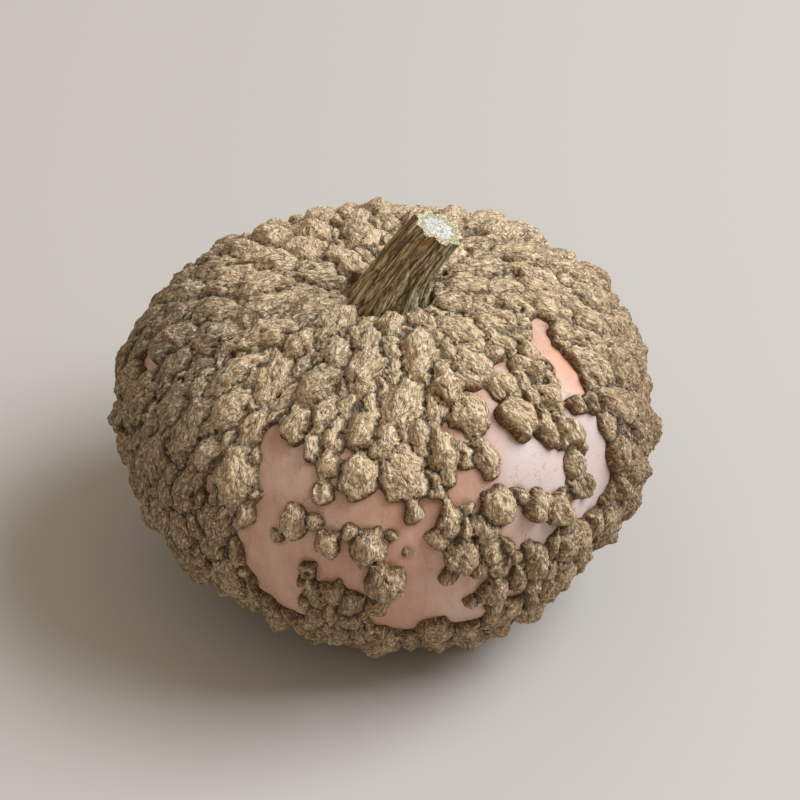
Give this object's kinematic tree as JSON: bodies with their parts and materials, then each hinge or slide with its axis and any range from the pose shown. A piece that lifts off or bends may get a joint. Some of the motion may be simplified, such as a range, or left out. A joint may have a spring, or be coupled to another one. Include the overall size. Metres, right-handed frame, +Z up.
{
  "type": "warty heirloom pumpkin",
  "caption": "Flattened, lobed heirloom pumpkin, pink rind under a thick crust of corky tan warts, with a short leaning cut stem. Rests on a small flat spot.",
  "frame": {"origin": "middle of the small flat spot underneath, where the fruit rests", "axes": "+Z up along the fruit's core towards the stem, -Y towards the viewer of the picture, where the rind shows most, +X to the right, the way the stem leans"},
  "size_m": [0.3031, 0.3009, 0.2291],
  "materials": {
    "fruit_rind": "satin pink rind under matt, corky, beige-brown warts",
    "stem_cork": "matt, dry and corky, with green in its grooves and a pale cut end"
  },
  "bodies": {
    "root": {"fruit": "fruit_rind", "stem": "stem_cork"}
  },
  "joints": []
}
